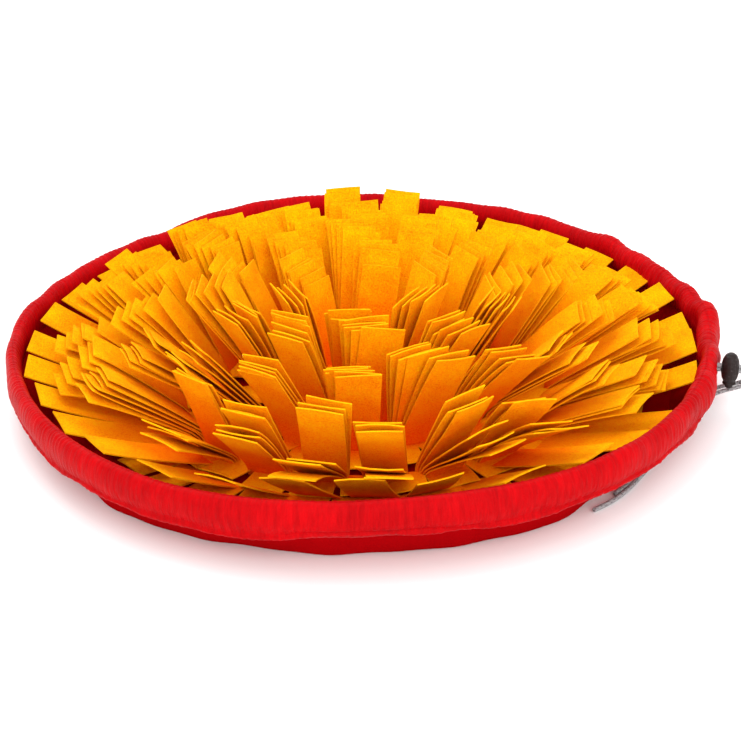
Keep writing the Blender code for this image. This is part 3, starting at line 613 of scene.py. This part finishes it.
def cubic(before, here, after, beyond, t):
    """The cubic that runs from here, at t = 0, to after, at t = 1. Its slope at each of these is
    that of the chord between the two values beside it."""
    bend = 2 * before - 5 * here + 4 * after - beyond
    twist = 3 * (here - after) + beyond - before
    return 0.5 * (2 * here + (after - before) * t + bend * t ** 2 + twist * t ** 3)


def closed_curve(values, turns):
    """Values on a smooth closed curve through equally spaced ones, a cubic for each stretch."""
    values = np.asarray(values, float)
    station = (np.asarray(turns) % 1.0) * len(values)
    first = np.floor(station).astype(int)
    t = station - first
    if values.ndim > 1:
        t = t[..., None]
    return cubic(*(values[(first + k) % len(values)] for k in (-1, 0, 1, 2)), t)


def waves(turns, terms):
    """A sum of sines round a circle: each term is amplitude, whole waves to the turn and phase."""
    return sum(size * np.sin(math.tau * count * turns + phase) for size, count, phase in terms)


def chance(index, salt):
    """Fixed values from -1 to 1 that differ from piece to piece."""
    return 2 * ((np.sin(index * 127.1 + salt * 311.7) * 43758.5453) % 1.0) - 1


def grid_faces(rows, columns, closed_rows=False, closed_columns=False):
    """The quads of a grid of points that are stored row by row."""
    row = np.arange(rows if closed_rows else rows - 1)[:, None]
    column = np.arange(columns if closed_columns else columns - 1)[None, :]
    below, beside = (row + 1) % rows, (column + 1) % columns
    return np.stack([row * columns + column, row * columns + beside, below * columns + beside,
                     below * columns + column], axis=-1).reshape(-1, 4)


def add_piece(name, points, faces, material, nodes=(), uv=None, attributes=(), sharp=None):
    """Make a mesh piece from points and faces, which rides on the mat and stands for CAD nodes."""
    mesh = bpy.data.meshes.new(name)
    mesh.from_pydata(np.asarray(points).reshape(-1, 3), [], [list(face) for face in faces])
    if uv is not None:
        layer = mesh.uv_layers.new(name="UVMap")
        corners = np.empty(len(mesh.loops), np.int32)
        mesh.loops.foreach_get("vertex_index", corners)
        layer.data.foreach_set("uv", np.asarray(uv, np.float32).reshape(-1, 2)[corners].ravel())
    for label, values in dict(attributes).items():
        layer = mesh.attributes.new(label, "FLOAT", "POINT")
        layer.data.foreach_set("value", np.asarray(values, np.float32).ravel())
    mesh.materials.append(material)
    mesh.shade_smooth()
    if sharp is not None:
        mesh.set_sharp_from_angle(angle=math.radians(sharp))
    mesh.validate()
    piece = bpy.data.objects.new(name, mesh)
    bpy.context.scene.collection.objects.link(piece)
    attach(piece, "mat")
    if nodes:
        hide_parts(*nodes)
    return piece


# ---------------------------------------------------------------- rim and dish
def from_slit(azimuth):
    """How far azimuths lie from the slit, from -180 to 180 degrees."""
    return (azimuth - SLIT_AZIMUTH + 180) % 360 - 180


def pinch(azimuth):
    """How far the casing is drawn in beside its slit: a bell curve of the azimuth."""
    return PINCH_DEPTH * np.exp(-(from_slit(azimuth) / PINCH_WIDTH) ** 2)


def rim_frame(azimuth):
    """The rim's table at azimuths: centre radius, centre height, half width, hem lift and foot."""
    columns = np.moveaxis(closed_curve(RIM_TABLE, azimuth / 360), -1, 0) * MM
    out, rise, half_width, hem, foot = columns
    drawn = pinch(azimuth)
    half_width = half_width - PINCH_NARROWS * drawn
    return RIM_RADIUS + out - drawn - half_width, RIM_CENTRE_HEIGHT + rise, half_width, hem, foot


def make_rim(material):
    """The padded rim: the closed section carried round the ring, with lumps, gathers and a slit.

    A point is the rim's centre plus the section's place there. It moves along its own direction
    from the centre by slow lumps and by gathers, sines of the azimuth whose phase wanders with the
    place in the section, and it sinks straight inwards in a rounded oblong round the slit.
    """
    turns = np.arange(RIM_STATIONS)[:, None] / RIM_STATIONS
    share = np.arange(RIM_POINTS)[None, :] / RIM_POINTS
    azimuth = turns * 360
    radius, height, half_width, hem, _ = rim_frame(azimuth)
    section = closed_curve(RIM_SECTION, share)
    out, up = section[..., 0] * half_width, section[..., 1] * RIM_HALF_HEIGHT
    crumple = closed_curve(CRUMPLE, turns)
    reach = np.hypot(out, up)
    lean = share * math.tau
    lumps = crumple * (waves(turns, LUMPS) * np.cos(lean - 0.8)
                       + waves(turns, CROSS_LUMPS) * np.sin(2 * lean + 0.7))
    wander = 0.9 * np.sin(lean + 1.0) + waves(turns, GATHER_WANDER)
    gathers = (0.5 + crumple) * sum(
        size * np.sin(math.tau * count * turns + drift * wander + twist * lean)
        for size, count, drift, twist in GATHER_TABLE)
    strength = GATHER_LEAST + (1 - GATHER_LEAST) * closed_curve(GATHER_WEIGHT, share)
    swell = (lumps + gathers * strength) * MM / reach
    hem_weight = closed_curve(HEM_WEIGHT, share)
    out = out * (1 + swell) + hem_weight * waves(turns, HEM_RUFFLE) * MM
    up = up * (1 + swell) + hem_weight * (hem + waves(turns, HEM_SAG) * MM)
    sideways = np.radians(from_slit(azimuth)) * RIM_RADIUS / SLIT_HALF[0]
    upright = (height + up - LOCK_HEIGHT) / SLIT_HALF[1]
    dent = SLIT_DEPTH * np.exp(-sideways ** 4 - upright ** 4) * (out > 0)
    points = at(azimuth, radius + out - dent, height + up)
    uv = np.stack(np.broadcast_arrays(turns, share), axis=-1)
    faces = grid_faces(RIM_STATIONS, RIM_POINTS, True, True)[:, ::-1]
    piece = add_piece("gathered_rim", points, faces, material, ("rim_casing",), uv)


def make_dish(material):
    """The felt dish: its section runs from the middle of its underside round the edge of its wall
    to the middle of its top. The wall leans outwards into the rim, and stands in soft upright
    folds, sines of the azimuth that grow with the height up the wall."""
    ring = np.arange(DISH_STATIONS)
    turns = ring[:, None] / DISH_STATIONS
    azimuth = turns * 360
    radius, height, half_width, _, foot = (value[:, 0] for value in rim_frame(azimuth))
    foot = FLOOR_RADIUS + foot + waves(turns[:, 0], FOOT_WAVES) * MM
    bend_out, bend_up = foot + WALL_FOOT[0], WALL_FOOT[1]
    top_out = radius + SEAT_SHARE[0] * half_width
    top_up = height + SEAT_SHARE[1] * RIM_HALF_HEIGHT
    run, climb = top_out - bend_out, top_up - bend_up
    slope = np.hypot(run, climb)
    run, climb = run / slope, climb / slope
    slope = slope + WALL_INTO_RIM
    up_wall = np.linspace(0, 1, WALL_POINTS)[None, :]
    outer_r = bend_out[:, None] + run[:, None] * slope[:, None] * up_wall
    outer_z = bend_up + climb[:, None] * slope[:, None] * up_wall
    outer_r = outer_r + waves(turns, WALL_FOLDS) * MM * up_wall ** WALL_FOLD_POWER
    inner_r, inner_z = outer_r - climb[:, None] * FELT, outer_z + run[:, None] * FELT
    floor_share = np.linspace(0, 1, FLOOR_POINTS)[None, :-1]
    under_r = foot[:, None] * floor_share
    over_r = (foot - FELT * 0.5)[:, None] * floor_share[:, ::-1]
    radii = np.hstack([under_r, foot[:, None], outer_r, inner_r[:, ::-1], over_r])
    flat = np.zeros_like(foot)[:, None]
    heights = np.hstack([under_r * 0, flat, outer_z, inner_z[:, ::-1], over_r * 0 + FELT])
    points = at(azimuth, radii[:, 1:-1], heights[:, 1:-1]).reshape(-1, 3)
    columns = radii.shape[1] - 2
    faces = grid_faces(DISH_STATIONS, columns, True, False)[:, ::-1].tolist()
    beside = (ring + 1) % DISH_STATIONS
    low, high = np.full_like(ring, len(points)), np.full_like(ring, len(points) + 1)
    faces += np.stack([beside * columns, ring * columns, low], -1).tolist()
    faces += np.stack([ring * columns + columns - 1, beside * columns + columns - 1,
                       high], -1).tolist()
    points = np.vstack([points, [(0, 0, 0), (0, 0, FELT)]])
    return add_piece("base_dish", points, faces, material, ("felt_dish",), sharp=50)


# ---------------------------------------------------------------- felt strips
def vary(ring, index, salt):
    """A fixed value from -1 to 1 that differs from bunch to bunch."""
    return 2 * ((math.sin(ring * 127.1 + index * 311.7 + salt * 74.7) * 43758.5453) % 1.0) - 1


def bunch_rows(number):
    """Every bunch of one ring, with its own small differences."""
    ring = dict(zip(RING_COLUMNS, RING_TABLE[number]))
    rows = []
    for index in range(ring["count"]):
        wander = [vary(number, index, salt) * ring["jitter"] for salt in range(6)]
        row = dict(ring)
        row["azimuth"] = (ring["first"] + 360 * index / ring["count"]
                          + AZIMUTH_JITTER * wander[0])
        row["turn"] = wander[1]
        row["lean"] = ring["lean"] + wander[2]
        row["side"] = wander[3]
        row["roll"] = ring["roll"] + wander[4]
        row["split"] = row["out"] = 0
        row["length"] = ring["length"] + LENGTH_JITTER * wander[5]
        row.update(zip(BUNCH_COLUMNS, BUNCH_TABLE.get((ring["name"], index), ())))
        row["root"] = ring["root"] + row["out"]
        rows.append(row)
    return rows


def uneven(bunches, layers, salt):
    """Places from -0.5 to 0.5 for the layers of bunches: in order, but unevenly apart."""
    if layers == 1:
        return np.zeros((bunches, 1))
    gaps = MEAN_GAP + chance(np.arange(bunches * layers) + 7 * layers, salt)
    gaps = gaps.reshape(bunches, layers)
    gaps[:, 0] = 0
    place = np.cumsum(gaps, axis=1)
    return (place / place[:, -1:] - 0.5).reshape(-1, 1)


def make_strips(number, material, nodes):
    """One ring of felt strips as one piece.

    Each strip's middle line is the running sum of its direction. The direction lies in the upright
    plane that the bunch faces, at a lean that falls from upright near the root, bends on, and
    differs from layer to layer, and is then swung sideways in the strip's own plane. The section is
    a thin oblong, twisted by the roll, cupped across its width, and cut a little askew at the tip.
    A petal has no upright root: its tail lies low, inside its root's radius, and rises outwards.
    """
    rows = bunch_rows(number)
    name, layers = rows[0]["name"], rows[0]["layers"]
    petal = name == "petal"
    count = len(rows) * layers
    strip = np.arange(count) + 1000 * number
    value = {key: np.repeat([float(row[key]) for row in rows], layers)[:, None]
             for key in ("azimuth", "turn", "lean", "open", "side", "fan", "roll", "split",
                         "length", "bend", "root")}
    layer = np.tile(np.arange(layers), len(rows))[:, None]
    place = (layer - (layers - 1) / 2) / max(1, layers - 1)
    fine = np.linspace(0, 1, STRIP_FINE)[None, :]
    own = [chance(strip, salt)[:, None] for salt in range(9)]

    fallen = np.sign(place) * value["split"] / 2
    droop = fine
    tail = 0.0
    if petal:
        tail = np.where(value["lean"] > PETAL_STANDS, STANDING_TAIL, PETAL_TAIL)
        whole = value["length"] + tail
        droop = np.clip((fine * whole - tail) / value["length"], 0, 1)
    opened = uneven(len(rows), layers, 11 + number) * value["open"]
    lean = value["lean"] - opened - fallen + value["bend"] * (0.5 - droop)
    if petal:
        lean = (lean - TAIL_DROP * tail) * np.clip(2 * fine * whole / tail, 0, 1)
        lean = lean + PETAL_BOW * own[0] * droop ** 2
    else:
        bow = np.clip(fine - BOW_START, 0, 1) ** 2 / BOW_SCALE
        lean = lean + OWN_LEAN * own[0] + OWN_BOW * own[1] * bow
        curl = np.clip(1 - fine / CURL_SHARE, 0, 1) ** 2
        lean = lean + np.clip(UPRIGHT - lean[:, :1], 0, None) * curl
    lean = np.radians(lean)[..., None]
    side = np.radians(value["side"] + uneven(len(rows), layers, 21 + number) * value["fan"]
                      + OWN_SIDE * own[2])[..., None]
    twisted = PETAL_TWIST + (1 - PETAL_TWIST) * droop if petal else np.clip(TWIST_RATE * fine, 0, 1)
    roll = (np.radians(value["roll"] + OWN_ROLL * own[3]) * twisted)[..., None]
    facing = heading(value["azimuth"] + value["turn"])
    across = np.cross(UP, facing)
    along = np.cos(lean) * facing + np.sin(lean) * UP
    upper = np.cross(along, np.broadcast_to(across, along.shape))
    run = np.cos(side) * along + np.sin(side) * across
    span = np.cos(side) * across - np.sin(side) * along
    span = np.cos(roll) * span + np.sin(roll) * upper
    face = np.cross(run, span)

    at_back = np.clip(np.sin(np.radians(value["azimuth"])) + 0.5, 0, 1)
    bunch = np.repeat(np.arange(len(rows)) + 50 * number, layers)[:, None]
    stair = STAIR + STAIR_AT_BACK * at_back + STAIR_CHANCE * chance(bunch, 31)
    stair = stair * (place - 0.5) * (layers > 1)
    length = (value["length"] + tail + stair + OWN_LENGTH * own[4]) * MM
    steps = (run[:, 1:] + run[:, :-1]) / 2 * (length / (STRIP_FINE - 1))[..., None]
    middle = np.concatenate([np.zeros((count, 1, 3)), np.cumsum(steps, axis=1)], axis=1)
    offset = (layer - (layers - 1) / 2) * LAYER_PITCH
    outwards = value["root"] * MM - tail * MM
    start = heading(value["azimuth"]) * outwards[..., None] + facing * offset[..., None]
    start = start + UP * (PETAL_HEIGHT if petal else ROOT_HEIGHT)
    middle = middle + start

    pick = STRIP_STATIONS
    middle, span, face, run = middle[:, pick], span[:, pick], face[:, pick], run[:, pick]
    share = np.broadcast_to(fine, (count, STRIP_FINE))[:, pick]
    width = (PETAL_WIDTH if petal else STRIP_WIDTH) * (1 + OWN_WIDTH * own[5])
    cup = CUP * own[6] * share
    skew = SKEW * own[7] * share ** SKEW_POWER
    half = LOOP_ACROSS[None, None, :, None]
    points = (middle[:, :, None] + span[:, :, None] * half * (width / 2)[..., None, None]
              + face[:, :, None] * (LOOP_SIDE[None, None, :] * STRIP_THICK / 2
                                    + cup[..., None] * (LOOP_ACROSS ** 2 - CUP_LEVEL))[..., None]
              + run[:, :, None] * (skew[..., None] * LOOP_ACROSS)[..., None])

    stations, loop = len(pick), len(LOOP_ACROSS)
    faces = grid_faces(stations, loop, False, True)
    faces = np.vstack([faces, LOOP_CAPS[:, ::-1], LOOP_CAPS + (stations - 1) * loop])
    faces = (faces[None] + np.arange(count)[:, None, None] * stations * loop).reshape(-1, 4)
    shape = (count, stations, loop)
    uv = np.stack([np.broadcast_to((LOOP_ACROSS + 1) / 2, shape),
                   np.broadcast_to(((1 - share) * length / DECIMETRE)[..., None], shape)], axis=-1)
    # The rise sets the painted shade, so it grows along the strip and with its height.
    rise = ((1 - RISE_BY_HEIGHT) * share[..., None] ** RISE_POWER
            + RISE_BY_HEIGHT * points[..., 2] / TALLEST)
    tone = np.broadcast_to((MEAN_TONE * (1 + own[8]))[..., None], shape)
    return add_piece("strips_" + name, points, faces, material, nodes, uv,
                     {"rise": np.clip(rise, 0, 1), "tone": tone}, sharp=40)


# ---------------------------------------------------------------- drawcord
def cord_line(rows):
    """A smooth line through a cord's route points, as points CORD_STEP apart, and its length."""
    rows = np.array(rows, float)
    knots = at(rows[:, 0], rows[:, 1] * MM, rows[:, 2] * MM)
    padded = np.vstack([2 * knots[0] - knots[1], knots, 2 * knots[-1] - knots[-2]])
    t = np.linspace(0, 1, ROUTE_FINE, endpoint=False)[None, :, None]
    fine = cubic(*(padded[k:len(padded) - 3 + k][:, None] for k in range(4)), t)
    fine = np.vstack([fine.reshape(-1, 3), knots[-1:]])
    run = np.concatenate([[0], np.cumsum(np.linalg.norm(np.diff(fine, axis=0), axis=1))])
    places = np.linspace(0, run[-1], round(run[-1] / CORD_STEP) + 1)
    return np.column_stack([np.interp(places, run, fine[:, k]) for k in range(3)]), run[-1]


def make_cord(name, rows, material):
    """A round tube carried along the cord's line. Its cross directions come from one fixed vector
    that the line never runs along, so the tube doesn't turn over, and its ends are flat."""
    line, length = cord_line(rows)
    tangent = np.gradient(line, axis=0)
    tangent /= np.linalg.norm(tangent, axis=1)[:, None]
    out = heading(np.array(SLIT_AZIMUTH))
    fixed = -0.7 * out + 0.7 * np.cross(UP, out) - 0.14 * UP
    side = np.cross(tangent, fixed)
    side /= np.linalg.norm(side, axis=1)[:, None]
    other = np.cross(tangent, side)
    ring = np.arange(CORD_SIDES)
    angle = ring[None, :, None] * math.tau / CORD_SIDES
    circle = np.cos(angle) * side[:, None] + np.sin(angle) * other[:, None]
    tube = line[:, None] + CORD_DIAMETER / 2 * circle
    shape = (len(line), CORD_SIDES)
    faces = grid_faces(*shape, False, True).tolist()
    first = len(line) * CORD_SIDES
    last, end = first + 1, first - CORD_SIDES
    beside = (ring + 1) % CORD_SIDES
    faces += np.stack([ring, np.full_like(ring, first), beside], -1).tolist()
    faces += np.stack([end + ring, end + beside, np.full_like(ring, last)], -1).tolist()
    points = np.vstack([tube.reshape(-1, 3), line[:1], line[-1:]])
    along = np.broadcast_to(np.linspace(0, length, len(line))[:, None], shape)
    around = np.broadcast_to(ring[None, :] / CORD_SIDES, shape)
    uv = np.vstack([np.stack([around, along], -1).reshape(-1, 2), [(0, 0), (0, length)]])
    piece = add_piece(name + "_braid", points, faces, material, (name,), uv, sharp=50)
    return piece, line, length


# ---------------------------------------------------------------- light and floor
def add_light(name, place, size, power):
    """A square soft light that points at the mat."""
    data = bpy.data.lights.new(name, "AREA")
    data.size, data.energy = size, power
    light = bpy.data.objects.new(name, data)
    light.location = place
    light.rotation_euler = (-Vector(place)).to_track_quat("-Z", "Y").to_euler()
    bpy.context.scene.collection.objects.link(light)


def add_studio():
    """A pale floor, an even pale surround, a broad light overhead and a soft one in front."""
    corners = [(FLOOR_HALF * x, FLOOR_HALF * y, -FLOOR_DROP)
               for x, y in ((-1, -1), (1, -1), (1, 1), (-1, 1))]
    mesh = bpy.data.meshes.new("studio_floor")
    mesh.from_pydata(corners, [], [(0, 1, 2, 3)])
    mesh.materials.append(make_floor_paint())
    floor = bpy.data.objects.new("studio_floor", mesh)
    bpy.context.scene.collection.objects.link(floor)
    world = bpy.data.worlds.new("studio")
    world.use_nodes = True
    background = world.node_tree.nodes["Background"]
    background.inputs["Color"].default_value = (1, 1, 1, 1)
    background.inputs["Strength"].default_value = WORLD_STRENGTH
    bpy.context.scene.world = world
    for row in LIGHTS:
        add_light(*row)
    bpy.context.scene.view_settings.view_transform = "Standard"
    return floor


# ---------------------------------------------------------------- the whole mat
add_camera()
floor = add_studio()
strip_felt = make_strip_felt()
comb_names = sorted(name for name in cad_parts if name.startswith("comb_"))
strips = [make_strips(number, strip_felt,
                      [name for name in comb_names if name.startswith("comb_" + row[0] + "_")])
          for number, row in enumerate(RING_TABLE)]
dish = make_dish(make_red_felt())
make_rim(make_casing_cloth())

braid = make_cord_braid()
cords = {name: make_cord(name, rows, braid) for name, rows in CORD_ROUTES.items()}
plastic = make_lock_plastic()
for name in ("cord_lock_barrel", "cord_lock_button"):
    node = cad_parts[name]
    node.data.materials.clear()
    node.data.materials.append(plastic)
